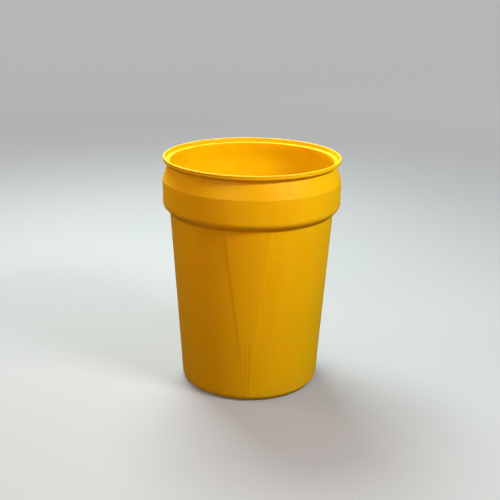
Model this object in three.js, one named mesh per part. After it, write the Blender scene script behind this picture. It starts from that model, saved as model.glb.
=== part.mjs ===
// Open-head poly overpack salvage drum, 30-US-gallon class: one blow-moulded HDPE piece.
// Millimetres, +Z up, origin at the centre of the base on the floor.
// The mould's parting plane is the YZ plane, and its V panels face -Y (the front) and +Y.

import * as THREE from "three";

// ---------------------------------------------------------------- driving dimensions

const HEIGHT = 714;            // floor to the top of the lip
const WALL = 5.5;              // general wall thickness
const ARC_ERROR = 0.4;         // how far a faceted arc may stray from the true one

const COLLAR_RADIUS = 270;     // the widest part, 21 1/4 in across
const COLLAR_TOP = HEIGHT - 69.5;
const COLLAR_BOTTOM = HEIGHT - 146.7;
const COLLAR_ROUND = 24;

const BODY_TOP_RADIUS = 249;   // tapered body where it meets the collar
const BODY_TOP = HEIGHT - 167;
const BASE_RADIUS = 213;       // tapered body, carried down to the floor
const BASE_ROUND = 21;

const FOOT_INNER_RADIUS = 177; // flat ring that the drum stands on
const RECESS_DEPTH = 6;        // push-up inside the foot ring
const RECESS_SLOPE = 7;        // width of the recess's sloping edge

const NECK_RADIUS = 253;       // outside, under the flange, at the top of the sloping shoulder
const NECK_TOP = HEIGHT - 20;

const BAND_RADIUS = 267.4;     // lower band of the flange
const BAND_BOTTOM = HEIGHT - 11.5; // from here the flange slopes in to the neck
const GROOVE_RADIUS = 266.8;   // fine groove between the band and the lip bead
const GROOVE_HEIGHT = HEIGHT - 4.8;
const GROOVE_HALF_HEIGHT = 1.1;
const LIP_RADIUS = 268;        // bead at the very top
const LIP_INNER_RADIUS = 262.3;

const SEAT_HEIGHT = HEIGHT - 12; // level ledge for the lid's gasket
const SEAT_OUTER_RADIUS = 260;
const THROAT_RADIUS = 248;
const THROAT_BOTTOM = HEIGHT - 25;

const PANEL_TOP_HALF_WIDTH = 67.5;
const PANEL_NECK_HALF_WIDTH = 13.5;
const PANEL_FOOT_HALF_WIDTH = 9;
const PANEL_NECK = 118;        // height where the V becomes a narrow, low strip
const PANEL_BOTTOM = 26;
const PANEL_RELIEF_TOP = 2.2;  // how far the panel stands proud of the body
const PANEL_RELIEF_NECK = 0.4;
const PANEL_EDGE = 3;          // width of the slope at the panel's edge

const SEAM_HALF_WIDTH = 2.6;   // shallow parting-line groove up the middle of each panel
const SEAM_FULL_TOP = 150;
const SEAM_TOP = 175;
const SEAM_DEPTH = 0.3;

const YELLOW = "#e9a800";

// Facets are laid out alike in each quarter turn, counted from the nearest parting line.
const QUARTER_COLUMNS = 20;
const SEAM_COLUMN = 1;         // edge of the parting-line groove
const PANEL_COLUMN = 4;        // edge of the panel's face
const EDGE_COLUMN = 5;         // foot of the panel's sloping edge
const REGULAR_COLUMN = 10;     // from here on the columns are evenly spaced

// ---------------------------------------------------------------- outline

function corner(radius, height, round = 0) {
  return { at: new THREE.Vector2(radius, height), round };
}

// Turns a list of corners into points, with each rounded corner as a tangent arc.
function roundedOutline(corners) {
  const points = [];
  corners.forEach((here, index) => {
    if (here.round === 0) {
      points.push(here.at);
      return;
    }
    points.push(...cornerArc(corners[index - 1].at, here, corners[index + 1].at));
  });
  return points;
}

function cornerArc(before, here, after) {
  const back = before.clone().sub(here.at).normalize();
  const ahead = after.clone().sub(here.at).normalize();
  const halfAngle = Math.acos(back.dot(ahead)) / 2;
  const turn = Math.PI - 2 * halfAngle;
  const bisector = back.clone().add(ahead).normalize();
  const centre = here.at.clone().addScaledVector(bisector, here.round / Math.sin(halfAngle));
  const start = here.at.clone().addScaledVector(back, here.round / Math.tan(halfAngle));
  const stepAngle = 2 * Math.acos(1 - Math.min(1, ARC_ERROR / here.round));
  const steps = Math.ceil(turn / stepAngle);
  const sense = -Math.sign(back.cross(ahead));
  const points = [];
  for (let step = 0; step <= steps; step += 1) {
    points.push(start.clone().rotateAround(centre, (sense * turn * step) / steps));
  }
  return points;
}

function bodyRadius(height) {
  return THREE.MathUtils.mapLinear(height, 0, BODY_TOP, BASE_RADIUS, BODY_TOP_RADIUS);
}

// From the middle of the underside, up the outside, to the inner edge of the lip.
function outsideCorners() {
  const wallHeights = [PANEL_BOTTOM, PANEL_NECK, SEAM_FULL_TOP, SEAM_TOP];
  return [
    corner(0, RECESS_DEPTH),
    corner(FOOT_INNER_RADIUS - RECESS_SLOPE, RECESS_DEPTH),
    corner(FOOT_INNER_RADIUS, 0),
    corner(BASE_RADIUS, 0, BASE_ROUND),
    ...wallHeights.map((height) => corner(bodyRadius(height), height)),
    corner(BODY_TOP_RADIUS, BODY_TOP),
    corner(COLLAR_RADIUS, COLLAR_BOTTOM, COLLAR_ROUND),
    corner(COLLAR_RADIUS, COLLAR_TOP),
    corner(NECK_RADIUS, NECK_TOP),
    corner(BAND_RADIUS, BAND_BOTTOM, 1.6),
    corner(BAND_RADIUS, GROOVE_HEIGHT - GROOVE_HALF_HEIGHT),
    corner(GROOVE_RADIUS, GROOVE_HEIGHT),
    corner(LIP_RADIUS, GROOVE_HEIGHT + GROOVE_HALF_HEIGHT),
    corner(LIP_RADIUS, HEIGHT, 2.4),
    corner(LIP_INNER_RADIUS, HEIGHT, 1.8),
  ];
}

// From the lid seat, down the inside one wall thickness in, to the middle of the inside floor.
function insideCorners() {
  const insideFloor = RECESS_DEPTH + WALL;
  return [
    corner(SEAT_OUTER_RADIUS, SEAT_HEIGHT),
    corner(THROAT_RADIUS, SEAT_HEIGHT, 3),
    corner(THROAT_RADIUS, THROAT_BOTTOM),
    corner(COLLAR_RADIUS - WALL, COLLAR_TOP - 1),
    corner(COLLAR_RADIUS - WALL, COLLAR_BOTTOM + 2.4, COLLAR_ROUND - WALL),
    corner(BODY_TOP_RADIUS - WALL, BODY_TOP + 2.4),
    corner(bodyRadius(WALL) - WALL, WALL, BASE_ROUND - WALL),
    corner(FOOT_INNER_RADIUS, WALL),
    corner(FOOT_INNER_RADIUS - RECESS_SLOPE, insideFloor),
    corner(0, insideFloor),
  ];
}

// ---------------------------------------------------------------- V panels and parting line

// A value that runs straight from one height to another, and stays level beyond them.
function between(height, low, high, atLow, atHigh) {
  const { clamp, mapLinear } = THREE.MathUtils;
  return mapLinear(clamp(height, low, high), low, high, atLow, atHigh);
}

function panelHalfWidth(height) {
  if (height > PANEL_NECK) {
    return between(height, PANEL_NECK, BODY_TOP, PANEL_NECK_HALF_WIDTH, PANEL_TOP_HALF_WIDTH);
  }
  return between(height, PANEL_BOTTOM, PANEL_NECK, PANEL_FOOT_HALF_WIDTH, PANEL_NECK_HALF_WIDTH);
}

function panelRelief(height) {
  if (height < PANEL_BOTTOM || height > BODY_TOP) return 0;
  return between(height, PANEL_NECK, BODY_TOP, PANEL_RELIEF_NECK, PANEL_RELIEF_TOP);
}

function seamDepth(height) {
  if (height < PANEL_BOTTOM) return 0;
  return between(height, SEAM_FULL_TOP, SEAM_TOP, SEAM_DEPTH, 0);
}

// Angle of a column from the nearest parting line, at a height, so that the panel's edges
// and the parting-line groove's edges each lie on a column of their own.
function columnAngle(column, height) {
  const radius = bodyRadius(Math.min(height, BODY_TOP));
  const seam = SEAM_HALF_WIDTH / radius;
  const panel = panelHalfWidth(height) / radius;
  const edge = panel + PANEL_EDGE / radius;
  const quarter = Math.PI / 2;
  const regular = (quarter * REGULAR_COLUMN) / QUARTER_COLUMNS;
  const { mapLinear } = THREE.MathUtils;
  if (column <= SEAM_COLUMN) return seam * column;
  if (column <= PANEL_COLUMN) return mapLinear(column, SEAM_COLUMN, PANEL_COLUMN, seam, panel);
  if (column <= REGULAR_COLUMN) return mapLinear(column, EDGE_COLUMN, REGULAR_COLUMN, edge, regular);
  return (quarter * column) / QUARTER_COLUMNS;
}

function relief(column, height) {
  if (column > PANEL_COLUMN) return 0;
  return panelRelief(height) - (column === 0 ? seamDepth(height) : 0);
}

function isOnBodyWall(point) {
  return Math.abs(point.x - bodyRadius(point.y)) < WALL / 100;
}

// Moves the lathe's columns to where the panels and grooves need them, and raises or sinks those.
function shapePanels(geometry, outline) {
  const position = geometry.attributes.position;
  const halfTurn = 2 * QUARTER_COLUMNS;
  for (let vertex = 0; vertex < position.count; vertex += 1) {
    const point = outline[vertex % outline.length];
    const turnColumn = Math.floor(vertex / outline.length);
    const nearest = Math.round(turnColumn / halfTurn) * halfTurn;
    const column = Math.abs(turnColumn - nearest);
    const side = Math.sign(turnColumn - nearest);
    const angle = (nearest / halfTurn) * Math.PI + side * columnAngle(column, point.y);
    const radius = point.x + (isOnBodyWall(point) ? relief(column, point.y) : 0);
    position.setXYZ(vertex, radius * Math.sin(angle), -radius * Math.cos(angle), point.y);
  }
}

// ---------------------------------------------------------------- the drum

function drumBody() {
  const outline = roundedOutline([...outsideCorners(), ...insideCorners()]);
  const geometry = new THREE.LatheGeometry(outline, 4 * QUARTER_COLUMNS);
  geometry.rotateX(Math.PI / 2);
  shapePanels(geometry, outline);
  geometry.computeVertexNormals();
  const plastic = new THREE.MeshStandardMaterial({ color: YELLOW, roughness: 0.42, metalness: 0 });
  const mesh = new THREE.Mesh(geometry, plastic);
  mesh.name = "drum_body";
  return mesh;
}

const drum = new THREE.Group();
drum.add(drumBody());

export default drum;
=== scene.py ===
"""Open-head poly overpack salvage drum in a plain studio.

Metres, +Z up, origin on the floor under the drum's axis. The mould's parting plane is the YZ plane.
"""
import math

import bpy
import numpy as np
from mathutils import Matrix, Vector


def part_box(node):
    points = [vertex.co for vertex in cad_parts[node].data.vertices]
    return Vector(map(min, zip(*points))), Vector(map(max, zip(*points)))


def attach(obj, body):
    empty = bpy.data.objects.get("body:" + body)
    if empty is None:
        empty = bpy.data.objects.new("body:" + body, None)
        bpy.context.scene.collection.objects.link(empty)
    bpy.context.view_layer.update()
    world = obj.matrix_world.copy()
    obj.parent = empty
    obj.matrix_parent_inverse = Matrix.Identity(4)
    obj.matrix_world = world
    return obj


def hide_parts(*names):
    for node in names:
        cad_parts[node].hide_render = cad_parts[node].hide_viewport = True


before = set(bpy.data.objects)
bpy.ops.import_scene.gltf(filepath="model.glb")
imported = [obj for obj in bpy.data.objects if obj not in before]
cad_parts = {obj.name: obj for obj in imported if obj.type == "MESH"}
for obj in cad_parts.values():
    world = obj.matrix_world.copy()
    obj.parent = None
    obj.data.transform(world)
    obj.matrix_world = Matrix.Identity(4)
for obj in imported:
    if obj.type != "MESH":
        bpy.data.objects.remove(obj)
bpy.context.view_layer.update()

MM = 0.001

# ---------------------------------------------------------------- driving dimensions

_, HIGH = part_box("drum_body")
CLEARANCE = 0.05 * MM          # keeps the widest points just inside the CAD box
HEIGHT = HIGH.z - CLEARANCE
COLLAR_RADIUS = HIGH.x - CLEARANCE
WALL = 5.5 * MM

COLLAR_TOP = HEIGHT - 69.5 * MM
COLLAR_BOTTOM = HEIGHT - 146.7 * MM
COLLAR_ROUND = 24 * MM         # the collar's lower edge
CREASE_ROUND = 3.5 * MM        # the collar's upper edge, below the shoulder

BODY_TOP_RADIUS = 249 * MM     # tapered body where it meets the collar
BODY_TOP = HEIGHT - 167 * MM
BODY_TOP_ROUND = 1.8 * MM
BASE_RADIUS = 213 * MM         # tapered body, carried down to the floor
BASE_ROUND = 21 * MM

FOOT_INNER_RADIUS = 177 * MM   # flat ring that the drum stands on
RECESS_DEPTH = 6 * MM
RECESS_SLOPE = 7 * MM
RECESS_ROUND = 3 * MM

NECK_RADIUS = 253 * MM         # under the flange, at the top of the sloping shoulder
NECK_TOP = HEIGHT - 20 * MM
NECK_ROUND = 4 * MM

BAND_RADIUS = 267.4 * MM       # lower band of the flange
BAND_BOTTOM = HEIGHT - 11.5 * MM
BAND_ROUND = 1.8 * MM
GROOVE_RADIUS = 266.8 * MM     # fine groove between the band and the lip bead
GROOVE_HEIGHT = HEIGHT - 4.8 * MM
GROOVE_HALF_HEIGHT = 1.1 * MM
GROOVE_ROUND = 0.5 * MM
GROOVE_LOWER_ROUND = 1.2 * MM
GROOVE_UPPER_ROUND = 0.8 * MM
LIP_RADIUS = 268 * MM
LIP_ROUND = 2.4 * MM
LIP_INNER_RADIUS = 262.3 * MM
LIP_INNER_ROUND = 2.0 * MM

SEAT_HEIGHT = HEIGHT - 12 * MM # level ledge for the lid's gasket
SEAT_OUTER_RADIUS = 260 * MM
SEAT_ROUND = 1.5 * MM
THROAT_RADIUS = 248 * MM
THROAT_ROUND = 3 * MM
THROAT_BOTTOM = HEIGHT - 25 * MM
THROAT_BEND = 40 * MM          # soft bend from the throat into the shoulder, inside
SHOULDER_BEND = 70 * MM        # and from the shoulder into the collar
SHOULDER_DROP = 1 * MM         # how much lower that bend's corner is than the crease outside
STEP_LIFT = 2.4 * MM           # how much higher the step under the collar is inside than outside
INSIDE_ROUND = 8 * MM          # the step's lower bend, and the bends beside the foot ring

PANEL_TOP_HALF_WIDTH = 67.5 * MM
PANEL_NECK_HALF_WIDTH = 13.5 * MM
PANEL_FOOT_HALF_WIDTH = 9 * MM
PANEL_NECK = 118 * MM          # height where the V becomes a narrow, low strip
PANEL_BOTTOM = 26 * MM
PANEL_RELIEF_TOP = 2.2 * MM
PANEL_RELIEF_NECK = 0.4 * MM
PANEL_EDGE_TOP = 4.5 * MM      # width of the slope at the panel's edge
PANEL_EDGE_NECK = 2.4 * MM

SEAM_HALF_WIDTH = 8.6 * MM     # shallow parting-line groove up the middle of each panel
SEAM_FULL_TOP = 175 * MM
SEAM_TOP = 205 * MM
SEAM_DEPTH = 0.5 * MM
SEAM_LEAST_NORMAL = 1 / 3      # radial part of the wall's normal below which the seam fades out
FLASH_HALF_WIDTH = 4.6 * MM    # trimmed flash along the middle of the groove
FLASH_RELIEF = 0.5 * MM
FLASH_TAIL = 3.0 * MM          # how much taller it is on the rounded base edge
FLASH_TAIL_TOP = 20 * MM

WELD_HALF_WIDTH = 2.4 * MM     # pinch-off weld across the underside's recess
WELD_HEIGHT = 1.8 * MM
WELD_REACH = 158 * MM

# Slow unevenness round the wall: depth in mm, waves in a turn, phase, phase gained in each metre up.
WAVES = ((0.16, 2, 1.1, 0), (0.10, 3, -0.6, 4), (0.07, 5, 2.0, -9), (0.05, 8, 0.4, 14))

# Edges that are rubbed in use: radius, height, and how far the rubbing reaches.
RUBBED_EDGES = (
    (LIP_RADIUS - 3 * MM, HEIGHT, 5 * MM),
    (COLLAR_RADIUS, COLLAR_TOP, 5 * MM),
    (COLLAR_RADIUS, COLLAR_BOTTOM + 8 * MM, 16 * MM),
    (BASE_RADIUS - 4 * MM, 6 * MM, 14 * MM),
)

# Columns of the mesh where each feature ends, counted from the nearest parting line.
TAIL_COLUMNS = 2
FLASH_COLUMNS = 5
SEAM_COLUMNS = 11
PANEL_COLUMNS = 24
EDGE_COLUMNS = 32
QUARTER_COLUMNS = 80
LONGEST_STEP = 12 * MM         # between rings on a straight stretch
SHORT_STEP = 1.2 * MM          # beside a bend, so that shading stays crisp
ARC_STEP = math.radians(11)    # turn between rings on a bend

# The camera stands in front of the drum and looks down on it, as where the photograph was taken from.
CAMERA_DISTANCE = 2.687
CAMERA_HEIGHT = 1.308
CAMERA_TURN = math.radians(2.0)
CAMERA_AIM = math.radians(-0.06)
CAMERA_PITCH = math.radians(18.41)
CAMERA_ROLL = math.radians(0.81)
SENSOR_WIDTH = 36.0            # mm
LENS = 65.66                   # mm

YELLOW_DEEP = (0.800, 0.440, 0.001, 1)
YELLOW_PALE = (0.820, 0.460, 0.001, 1)
YELLOW_INSIDE_PAINTED_LIGHT = (0.785, 0.500, 0.001, 1)    # painted light: a greener, less orange yellow inside stands for the whiter light that falls there
# pale scuffed plastic for rubbed wear, and for the trimmed flash, where it is also a painted highlight
YELLOW_SCUFFED_AND_HIGHLIGHT = (0.83, 0.58, 0.08, 1)
# painted shade: darker orange for the parting-line groove beside the flash
GROOVE_PAINTED_SHADE = (0.60, 0.22, 0.002, 1)
DUST = (0.36, 0.26, 0.14, 1)
DUST_TOP = 60 * MM

CLOUD_SHARE = 0.65             # of the colour's unevenness, and the rest is upright streaks
RUBBED_SHARE = 0.35            # how strongly each mark shows: wear, dust, painted shade in the groove, and the flash's paleness with its painted highlight
SCRATCHED_SHARE = 0.16
DUST_SHARE = 0.16
GROOVE_SHADE_SHARE = 0.35
PALE_FLASH_AND_HIGHLIGHT_SHARE = 0.9
SCRATCH_WIDTH = 0.006          # as a part of the noise's whole range

LEAST_ROUGH = 0.42
MOST_ROUGH = 0.50
WORN_ROUGHER = 0.35
DUST_ROUGHER = 0.8
SPECULAR_LEVEL = 0.12
GRAIN_SHARE = 0.5              # of the fine grain beside the coarser orange peel
WORN_LOWER = 0.8
BUMP_STRENGTH = 0.2
BUMP_HEIGHT = 0.25 * MM
SUBSURFACE_SHARE = 0.6
SUBSURFACE_REACH = 6 * MM
SUBSURFACE_RADIUS = (1.0, 0.3, 0.05)        # of red, green and blue light, as parts of that reach

FLOOR_COLOUR = (0.345, 0.345, 0.375, 1)
NEAR_GLOW = 0.06
FAR_GLOW = 0.42                # keeps the far floor and the wall pale
FLOOR_ROUGHNESS = 0.8
FLOOR_SPECULAR_LEVEL = 0.1
NEAR_RADIUS = 0.5
FLOOR_RADIUS = 6.0
SWEEP_RADIUS = 3.0
WALL_TOP = 12.0
FLOOR_RINGS = 12
SWEEP_STEPS = 16
FLOOR_SIDES = 96

LIGHT_TARGET = 0.5             # height on the drum's axis that the lights face
LIGHT_DISTANCE = 2.8

# Soft lights: name, azimuth and elevation in degrees, width and height in metres, watts, colour.
# Azimuth 0 is in front of the drum, and 90 to its right.
LIGHTS = (
    ("key", 54, 38, 0.9, 0.45, 80, (0.93, 0.95, 0.88)),
    ("front_fill", -24, 18, 1.0, 0.8, 24, (1.0, 0.71, 0.55)),
    ("left_fill", -90, 44, 1.0, 1.0, 23, (1.0, 0.70, 0.55)),
    ("back_bounce", -155, 55, 1.6, 1.6, 175, (0.82, 0.95, 0.86)),
)
ROOM_COLOUR = (1.0, 0.93, 0.85, 1)
ROOM_GLOW = 0.08


# ---------------------------------------------------------------- outline

def corner(radius, height, bend=0.0):
    """A corner of the outline, and the radius of the arc that rounds it."""
    return Vector((radius, height)), bend


def body_radius(height):
    return BASE_RADIUS + (BODY_TOP_RADIUS - BASE_RADIUS) * height / BODY_TOP


def outside_corners():
    return [
        corner(0, RECESS_DEPTH),
        corner(FOOT_INNER_RADIUS - RECESS_SLOPE, RECESS_DEPTH, RECESS_ROUND),
        corner(FOOT_INNER_RADIUS, 0, RECESS_ROUND),
        corner(BASE_RADIUS, 0, BASE_ROUND),
        corner(BODY_TOP_RADIUS, BODY_TOP, BODY_TOP_ROUND),
        corner(COLLAR_RADIUS, COLLAR_BOTTOM, COLLAR_ROUND),
        corner(COLLAR_RADIUS, COLLAR_TOP, CREASE_ROUND),
        corner(NECK_RADIUS, NECK_TOP, NECK_ROUND),
        corner(BAND_RADIUS, BAND_BOTTOM, BAND_ROUND),
        corner(BAND_RADIUS, GROOVE_HEIGHT - GROOVE_HALF_HEIGHT, GROOVE_LOWER_ROUND),
        corner(GROOVE_RADIUS, GROOVE_HEIGHT, GROOVE_ROUND),
        corner(LIP_RADIUS, GROOVE_HEIGHT + GROOVE_HALF_HEIGHT, GROOVE_UPPER_ROUND),
        corner(LIP_RADIUS, HEIGHT, LIP_ROUND),
        corner(LIP_INNER_RADIUS, HEIGHT, LIP_INNER_ROUND),
    ]


def inside_corners():
    inside_floor = RECESS_DEPTH + WALL
    return [
        corner(SEAT_OUTER_RADIUS, SEAT_HEIGHT, SEAT_ROUND),
        corner(THROAT_RADIUS, SEAT_HEIGHT, THROAT_ROUND),
        corner(THROAT_RADIUS, THROAT_BOTTOM, THROAT_BEND),
        corner(COLLAR_RADIUS - WALL, COLLAR_TOP - SHOULDER_DROP, SHOULDER_BEND),
        corner(COLLAR_RADIUS - WALL, COLLAR_BOTTOM + STEP_LIFT, COLLAR_ROUND - WALL),
        corner(BODY_TOP_RADIUS - WALL, BODY_TOP + STEP_LIFT, INSIDE_ROUND),
        corner(body_radius(WALL) - WALL, WALL, BASE_ROUND - WALL),
        corner(FOOT_INNER_RADIUS, WALL, INSIDE_ROUND),
        corner(FOOT_INNER_RADIUS - RECESS_SLOPE, inside_floor, INSIDE_ROUND),
        corner(0, inside_floor),
    ]


def corner_arc(before, here, after, bend):
    """Points of the arc that rounds one corner, tangent to both its sides."""
    back = (before - here).normalized()
    ahead = (after - here).normalized()
    half_angle = back.angle(ahead) / 2
    turn = math.pi - 2 * half_angle
    centre = here + (back + ahead).normalized() * bend / math.sin(half_angle)
    start = here + back * bend / math.tan(half_angle) - centre
    sense = -math.copysign(1, back.cross(ahead))
    steps = max(2, math.ceil(turn / ARC_STEP))
    points = []
    for step in range(steps + 1):
        angle = sense * turn * step / steps
        points.append(centre + Matrix.Rotation(angle, 2) @ start)
    return points


def straight(start, end):
    """Points strictly between two ends, with a short step beside each of them."""
    length = (end - start).length
    if length < 3 * SHORT_STEP:
        return []
    inner = length - 2 * SHORT_STEP
    count = max(1, math.ceil(inner / LONGEST_STEP))
    shares = [(SHORT_STEP + inner * step / count) / length for step in range(count + 1)]
    return [start.lerp(end, share) for share in shares]


def outline():
    """Points from the underside's middle, up the outside, over the lip and down the inside."""
    corners = outside_corners() + inside_corners()
    points = [corners[0][0]]
    for index in range(1, len(corners)):
        here, bend = corners[index]
        if bend:
            run = corner_arc(corners[index - 1][0], here, corners[index + 1][0], bend)
        else:
            run = [here]
        points += straight(points[-1], run[0]) + run
    return points


def outward_normals(points):
    """The outline's outward direction at each point, as rows of (radial, up)."""
    places = np.array(points)
    along = np.gradient(places, axis=0)
    along /= np.linalg.norm(along, axis=1, keepdims=True)
    return np.column_stack([along[:, 1], -along[:, 0]])


# ---------------------------------------------------------------- V panels, parting line, unevenness, wear

def smooth(share):
    """Eases from 0 to 1, and stays there outside that range."""
    share = np.clip(share, 0, 1)
    return share * share * (3 - 2 * share)


def panel_half_width(height):
    heights = [PANEL_BOTTOM, PANEL_NECK, BODY_TOP]
    return np.interp(height, heights, [PANEL_FOOT_HALF_WIDTH, PANEL_NECK_HALF_WIDTH, PANEL_TOP_HALF_WIDTH])


def quarter_angles(height):
    """Angle of each column from the nearest parting line, at a height."""
    radius = body_radius(min(height, BODY_TOP))
    panel = panel_half_width(height)
    columns = [0, FLASH_COLUMNS, SEAM_COLUMNS, PANEL_COLUMNS, EDGE_COLUMNS, QUARTER_COLUMNS]
    edge = np.interp(height, [PANEL_NECK, BODY_TOP], [PANEL_EDGE_NECK, PANEL_EDGE_TOP])
    widths = np.array([0, FLASH_HALF_WIDTH, SEAM_HALF_WIDTH, panel, panel + edge])
    angles = [*(widths / radius), math.pi / 2]
    return np.interp(np.arange(QUARTER_COLUMNS + 1), columns, angles)


def panel_relief(height):
    """Height of the panel's face above the tapered body, which fades out at its foot."""
    relief = np.interp(height, [PANEL_NECK, BODY_TOP], [PANEL_RELIEF_NECK, PANEL_RELIEF_TOP])
    return relief * smooth(height / PANEL_BOTTOM)


def panel_share(column):
    """1 on the panel's face, falling smoothly to 0 across its edge."""
    return 1 - smooth((column - PANEL_COLUMNS) / (EDGE_COLUMNS - PANEL_COLUMNS))


def seam_strength(height):
    """1 along the parting line, fading to 0 where it runs out at the top."""
    return 1 - smooth((height - SEAM_FULL_TOP) / (SEAM_TOP - SEAM_FULL_TOP))


def flash_tail(column, height):
    """How much of the flash's taller, narrower tail there is, 0 to 1."""
    return (1 - smooth(column / TAIL_COLUMNS)) * (1 - smooth(height / FLASH_TAIL_TOP))


def flash_share(column):
    """1 along the middle of the flash, falling smoothly to 0 at its edge."""
    return 1 - smooth(column / FLASH_COLUMNS)


def seam_lift(column, height):
    """The flash stands up from the bottom of the parting-line groove, and both fade out at the top."""
    flash = FLASH_RELIEF * flash_share(column) + FLASH_TAIL * flash_tail(column, height)
    groove = SEAM_DEPTH * (1 - smooth(column / SEAM_COLUMNS))
    return seam_strength(height) * (flash - groove)


def seam_tone(column, height):
    """Above 0 where trimmed flash is pale with a painted highlight, below 0 where painted shade darkens
    the groove beside it.
    """
    beside = smooth((column - FLASH_COLUMNS) / (SEAM_COLUMNS - FLASH_COLUMNS))
    groove_shade = 1 - flash_share(column) - beside
    return seam_strength(height) * (flash_share(column) + flash_tail(column, height) - groove_shade)


def waviness(angle, height):
    """A blow-moulded wall's slow unevenness, never outward."""
    total = 0
    for depth, waves, phase, rise in WAVES:
        total = total + depth * MM * (np.sin(waves * angle + phase + rise * height) - 1)
    return total


def rub(point):
    """How much a place on the outline is rubbed in use, 0 to 1: most on the edges that stick out."""
    shares = []
    for radius, height, reach in RUBBED_EDGES:
        shares.append(math.exp(-math.dist(point, (radius, height)) / reach))
    return max(shares)


# ---------------------------------------------------------------- drum mesh

def full_turn(quarter):
    """Spreads a quarter turn's columns round the drum: (angle, column number from the parting line)."""
    half = 2 * QUARTER_COLUMNS
    column = np.arange(2 * half)
    nearest = np.round(column / half) * half
    away = np.abs(column - nearest).astype(int)
    side = np.sign(column - nearest)
    return nearest / half * math.pi + side * quarter[away], away


def ring_of(point, normal, on_outside):
    """One ring of vertices as rows of (x, y, z), and the seam's tone at each of them."""
    radius, height = point
    angle, away = full_turn(quarter_angles(height))
    radii = np.full(len(angle), radius)
    heights = np.full(len(angle), height)
    tone = np.zeros(len(angle))
    if height <= COLLAR_BOTTOM:
        face = body_radius(height) + panel_relief(height) - (0 if on_outside else WALL)
        radii += np.clip(face - radius, 0, panel_relief(height)) * panel_share(away)
    if on_outside and height <= SEAM_TOP:
        upright = smooth(normal[0] / SEAM_LEAST_NORMAL)
        lift = seam_lift(away, height) * upright
        radii += normal[0] * lift
        heights += normal[1] * lift
        tone = seam_tone(away, height) * upright
    radii += waviness(angle, height) * smooth(radius / BASE_RADIUS)
    x = radii * np.sin(angle)
    if on_outside and radius < WELD_REACH and height < RECESS_DEPTH + WALL / 2:
        heights -= WELD_HEIGHT * (1 - smooth(np.abs(x) / WELD_HALF_WIDTH))
    return np.column_stack([x, -radii * np.cos(angle), heights]), tone


def fan(middle, ring, around):
    """Triangles between one vertex and a ring of vertices, facing down."""
    return [(middle, ring + (column + 1) % around, ring + column) for column in range(around)]


def band(below, above, around):
    """Quads between two rings of vertices, facing outward where the second is the higher one."""
    faces = []
    for column in range(around):
        beside = (column + 1) % around
        faces.append((below + column, below + beside, above + beside, above + column))
    return faces


def drum_mesh():
    points = outline()
    normals = outward_normals(points)
    lip = max(range(len(points)), key=lambda index: points[index].y)
    around = 4 * QUARTER_COLUMNS
    rings = []
    rub_values = []
    seam_values = []
    inside_light_values = []
    for index in range(1, len(points) - 1):
        point = points[index]
        on_outside = index <= lip
        ring, tone = ring_of(point, normals[index], on_outside)
        rings.append(ring)
        rub_values += [rub(point)] * around
        seam_values += list(tone)
        # mask of the inside below the throat, where a greener yellow is painted to stand for the whiter
        # light inside
        inside_light_values += [float(not on_outside and point.y < THROAT_BOTTOM)] * around
    vertices = np.vstack([[(0, 0, points[0].y)], *rings, [(0, 0, points[-1].y)]])
    vertices[:, 2] = np.maximum(vertices[:, 2], 0)
    last_ring = 1 + (len(rings) - 1) * around
    faces = fan(0, 1, around)
    for below in range(1, last_ring, around):
        faces += band(below, below + around, around)
    faces += [face[::-1] for face in fan(len(vertices) - 1, last_ring, around)]
    mesh = bpy.data.meshes.new("drum")
    mesh.from_pydata(vertices.tolist(), [], faces)
    for name, values in (("rub", rub_values), ("seam", seam_values), ("inside", inside_light_values)):
        attribute = mesh.attributes.new(name, "FLOAT", "POINT")
        attribute.data.foreach_set("value", [values[0], *values, values[-1]])
    mesh.validate()
    mesh.shade_smooth()
    return mesh


# ---------------------------------------------------------------- plastic

def node(tree, kind, **inputs):
    """A new node with some of its inputs set to values or linked to sockets."""
    made = tree.nodes.new(kind)
    for name, value in inputs.items():
        socket = made.inputs[name.replace("_", " ")]
        if isinstance(value, bpy.types.NodeSocket):
            tree.links.new(value, socket)
        else:
            socket.default_value = value
    return made


def blank_material(name):
    material = bpy.data.materials.new(name)
    material.use_nodes = True
    material.node_tree.nodes.clear()
    return material, material.node_tree


def noise(tree, place, scale, detail=2.0, roughness=0.5, stretch=(1, 1, 1)):
    """Noise from 0 to 1 of a given scale, stretched along the axes where stretch is small."""
    mapping = node(tree, "ShaderNodeMapping", Vector=place, Scale=stretch)
    made = node(
        tree, "ShaderNodeTexNoise",
        Vector=mapping.outputs["Vector"], Scale=scale, Detail=detail, Roughness=roughness,
    )
    return made.outputs["Fac"]


def remap(tree, value, low, high, to_low=0.0, to_high=1.0):
    """A smooth step of value from low to high, between two results."""
    made = tree.nodes.new("ShaderNodeMapRange")
    made.interpolation_type = "SMOOTHSTEP"
    tree.links.new(value, made.inputs["Value"])
    for name, number in (("From Min", low), ("From Max", high), ("To Min", to_low), ("To Max", to_high)):
        made.inputs[name].default_value = number
    return made.outputs["Result"]


def maths(tree, operation, first, second=0.0):
    made = tree.nodes.new("ShaderNodeMath")
    made.operation = operation
    for socket, value in zip(made.inputs, (first, second)):
        if isinstance(value, bpy.types.NodeSocket):
            tree.links.new(value, socket)
        else:
            socket.default_value = value
    return made.outputs["Value"]


def blend(tree, share, first, second):
    """A colour between two others, by a share from 0 to 1."""
    made = tree.nodes.new("ShaderNodeMix")
    made.data_type = "RGBA"
    tree.links.new(share, made.inputs["Factor"])
    for name, value in (("A", first), ("B", second)):
        socket = next(socket for socket in made.inputs if socket.name == name and socket.type == "RGBA")
        if isinstance(value, bpy.types.NodeSocket):
            tree.links.new(value, socket)
        else:
            socket.default_value = value
    return next(socket for socket in made.outputs if socket.type == "RGBA")


def mesh_value(tree, name):
    """A number that the drum's mesh carries at each vertex."""
    made = tree.nodes.new("ShaderNodeAttribute")
    made.attribute_name = name
    return made.outputs["Fac"]


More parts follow.
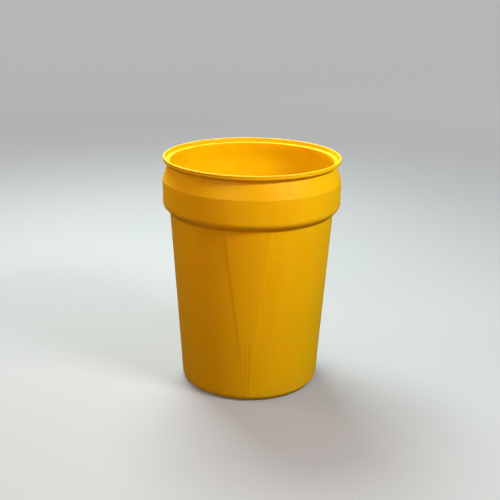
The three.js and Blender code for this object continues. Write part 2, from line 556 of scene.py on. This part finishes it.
def colour_tone(tree, place):
    """Slow clouds and fainter upright streaks in the plastic, from 0 to 1."""
    cloud = noise(tree, place, scale=6.0, detail=3.0)
    streak = noise(tree, place, scale=30.0, detail=3.0, stretch=(1, 1, 0.06))
    clouds = maths(tree, "MULTIPLY", cloud, CLOUD_SHARE)
    streaks = maths(tree, "MULTIPLY", streak, 1 - CLOUD_SHARE)
    return maths(tree, "ADD", clouds, streaks)


def clean_colour(tree, tone):
    """The plastic's yellow, with painted shade in the parting line's grooves, pale trimmed flash with a
    painted highlight between them, and a greener yellow inside as painted light.
    """
    seam = mesh_value(tree, "seam")
    colour = blend(tree, remap(tree, tone, 0.35, 0.65), YELLOW_DEEP, YELLOW_PALE)
    # painted light: the inside gets a greener yellow for the whiter light that falls there
    colour = blend(tree, mesh_value(tree, "inside"), colour, YELLOW_INSIDE_PAINTED_LIGHT)
    # painted shade darkens the groove beside the flash
    colour = blend(tree, remap(tree, seam, 0.0, -1.0, 0.0, GROOVE_SHADE_SHARE), colour, GROOVE_PAINTED_SHADE)
    # pale flash: trimmed plastic with a painted highlight along the ridge and its tail
    return blend(tree, remap(tree, seam, 0.4, 2.0, 0.0, PALE_FLASH_AND_HIGHLIGHT_SHARE), colour, YELLOW_SCUFFED_AND_HIGHLIGHT)


def wear(tree, place, patch):
    """Rubbed edges and fine, mostly level scratches, from 0 to 1."""
    edge = remap(tree, mesh_value(tree, "rub"), 0.35, 0.95)
    rubbed = maths(tree, "MULTIPLY", remap(tree, patch, 0.50, 0.62), edge)
    thread = noise(tree, place, scale=24.0, detail=4.0, roughness=0.6, stretch=(1, 1, 5))
    off_middle = maths(tree, "ABSOLUTE", maths(tree, "SUBTRACT", thread, 0.5))
    line = remap(tree, off_middle, 0.0, SCRATCH_WIDTH, 1.0, 0.0)
    scratched = maths(tree, "MULTIPLY", line, remap(tree, patch, 0.52, 0.60))
    rubs = maths(tree, "MULTIPLY", rubbed, RUBBED_SHARE)
    scratches = maths(tree, "MULTIPLY", scratched, SCRATCHED_SHARE)
    return maths(tree, "MAXIMUM", rubs, scratches)


def dust_share(tree, place, patch):
    """Patchy dust that thins out upward from the base, from 0 to 1."""
    height = node(tree, "ShaderNodeSeparateXYZ", Vector=place).outputs["Z"]
    low = remap(tree, height, 0.0, DUST_TOP, 1.0, 0.0)
    patchy = maths(tree, "MULTIPLY", low, remap(tree, patch, 0.42, 0.66))
    return maths(tree, "MULTIPLY", patchy, DUST_SHARE)


def roughness(tree, tone, worn, dusty):
    """Satin, and rougher where the plastic is worn or dusty."""
    rough = remap(tree, tone, 0.3, 0.7, LEAST_ROUGH, MOST_ROUGH)
    rough = maths(tree, "ADD", rough, maths(tree, "MULTIPLY", worn, WORN_ROUGHER))
    return maths(tree, "ADD", rough, maths(tree, "MULTIPLY", dusty, DUST_ROUGHER))


def fine_relief(tree, place, worn):
    """The mould's fine grain and orange peel, a little lower where the plastic is worn."""
    grain = noise(tree, place, scale=620.0)
    peel = noise(tree, place, scale=170.0)
    relief = maths(tree, "ADD", maths(tree, "MULTIPLY", grain, GRAIN_SHARE), peel)
    relief = maths(tree, "SUBTRACT", relief, maths(tree, "MULTIPLY", worn, WORN_LOWER))
    bump = node(tree, "ShaderNodeBump", Height=relief, Strength=BUMP_STRENGTH, Distance=BUMP_HEIGHT)
    return bump.outputs["Normal"]


def finish(tree, shader):
    """Makes a shader the material's surface."""
    output = tree.nodes.new("ShaderNodeOutputMaterial")
    tree.links.new(shader.outputs["BSDF"], output.inputs["Surface"])


def yellow_plastic():
    """Satin high-density polyethylene: through-coloured, finely textured, lightly scuffed and dusty."""
    material, tree = blank_material("yellow_hdpe")
    place = tree.nodes.new("ShaderNodeTexCoord").outputs["Object"]
    patch = noise(tree, place, scale=38.0, detail=5.0, roughness=0.65)
    tone = colour_tone(tree, place)
    worn = wear(tree, place, patch)
    dusty = dust_share(tree, place, patch)
    colour = blend(tree, worn, clean_colour(tree, tone), YELLOW_SCUFFED_AND_HIGHLIGHT)
    colour = blend(tree, dusty, colour, DUST)
    finish(tree, node(
        tree, "ShaderNodeBsdfPrincipled",
        Base_Color=colour, Roughness=roughness(tree, tone, worn, dusty), Specular_IOR_Level=SPECULAR_LEVEL,
        Subsurface_Weight=SUBSURFACE_SHARE, Subsurface_Radius=SUBSURFACE_RADIUS,
        Subsurface_Scale=SUBSURFACE_REACH, Normal=fine_relief(tree, place, worn),
    ))
    return material


# ---------------------------------------------------------------- studio

def floor_material():
    """Pale, and glowing softly far from the drum, where the lights don't reach."""
    material, tree = blank_material("pale_floor")
    away = tree.nodes.new("ShaderNodeVectorMath")
    away.operation = "LENGTH"
    tree.links.new(tree.nodes.new("ShaderNodeTexCoord").outputs["Object"], away.inputs[0])
    glow = remap(tree, away.outputs["Value"], NEAR_RADIUS, FLOOR_RADIUS, NEAR_GLOW, FAR_GLOW)
    finish(tree, node(
        tree, "ShaderNodeBsdfPrincipled",
        Base_Color=FLOOR_COLOUR, Roughness=FLOOR_ROUGHNESS, Specular_IOR_Level=FLOOR_SPECULAR_LEVEL,
        Emission_Color=(1, 1, 1, 1), Emission_Strength=glow,
    ))
    return material


def floor_section():
    """Radius and height of each ring of the floor, from near the middle to the top of the wall."""
    section = [(radius, 0.0) for radius in np.linspace(NEAR_RADIUS, FLOOR_RADIUS, FLOOR_RINGS)]
    for step in range(1, SWEEP_STEPS + 1):
        angle = math.pi / 2 * step / SWEEP_STEPS
        out = FLOOR_RADIUS + SWEEP_RADIUS * math.sin(angle)
        section.append((out, SWEEP_RADIUS * (1 - math.cos(angle))))
    section.append((FLOOR_RADIUS + SWEEP_RADIUS, WALL_TOP))
    return section


def floor():
    """A pale floor that curves up into a pale wall all round, like a photographer's sweep."""
    section = floor_section()
    vertices = [(0, 0, 0)]
    for radius, height in section:
        for side in range(FLOOR_SIDES):
            angle = 2 * math.pi * side / FLOOR_SIDES
            vertices.append((radius * math.cos(angle), radius * math.sin(angle), height))
    faces = fan(0, 1, FLOOR_SIDES)
    for ring in range(len(section) - 1):
        inner = 1 + ring * FLOOR_SIDES
        faces += band(inner, inner + FLOOR_SIDES, FLOOR_SIDES)
    mesh = bpy.data.meshes.new("floor")
    mesh.from_pydata(vertices, [], [face[::-1] for face in faces])
    mesh.shade_smooth()
    made = bpy.data.objects.new("floor", mesh)
    bpy.context.scene.collection.objects.link(made)
    made.data.materials.append(floor_material())
    made.visible_diffuse = False
    made.visible_glossy = False


def soft_light(name, azimuth, elevation, width, height, watts, colour):
    """A rectangular light facing the drum."""
    data = bpy.data.lights.new(name, "AREA")
    data.shape = "RECTANGLE"
    data.size = width
    data.size_y = height
    data.energy = watts
    data.color = colour
    made = bpy.data.objects.new(name, data)
    bpy.context.scene.collection.objects.link(made)
    turn = math.radians(azimuth)
    tilt = math.radians(elevation)
    away = Vector((math.sin(turn) * math.cos(tilt), -math.cos(turn) * math.cos(tilt), math.sin(tilt)))
    made.location = Vector((0, 0, LIGHT_TARGET)) + away * LIGHT_DISTANCE
    made.rotation_euler = (-away).to_track_quat("-Z", "Y").to_euler()


def room():
    """A faint, even light from all round."""
    world = bpy.data.worlds.new("soft_room")
    world.use_nodes = True
    background = world.node_tree.nodes["Background"]
    background.inputs["Color"].default_value = ROOM_COLOUR
    background.inputs["Strength"].default_value = ROOM_GLOW
    bpy.context.scene.world = world


def studio():
    floor()
    for light in LIGHTS:
        soft_light(*light)
    room()
    bpy.context.scene.view_settings.view_transform = "Standard"


def camera():
    forward = Vector((
        math.sin(CAMERA_AIM) * math.cos(CAMERA_PITCH),
        math.cos(CAMERA_AIM) * math.cos(CAMERA_PITCH),
        -math.sin(CAMERA_PITCH),
    ))
    level = Vector((math.cos(CAMERA_AIM), -math.sin(CAMERA_AIM), 0))
    up = level.cross(forward)
    right = level * math.cos(CAMERA_ROLL) + up * math.sin(CAMERA_ROLL)
    up = right.cross(forward)
    turn = Matrix((right, up, -forward)).transposed().to_4x4()
    stand = Matrix.Translation((0, -CAMERA_DISTANCE, CAMERA_HEIGHT))
    data = bpy.data.cameras.new("camera")
    data.sensor_width = SENSOR_WIDTH
    data.lens = LENS
    made = bpy.data.objects.new("camera", data)
    bpy.context.scene.collection.objects.link(made)
    made.matrix_world = Matrix.Rotation(CAMERA_TURN, 4, "Z") @ stand @ turn
    bpy.context.scene.camera = made


# ---------------------------------------------------------------- assembly

def drum():
    made = bpy.data.objects.new("drum", drum_mesh())
    bpy.context.scene.collection.objects.link(made)
    made.data.materials.append(yellow_plastic())
    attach(made, "root")
    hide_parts("drum_body")


camera()
drum()
studio()
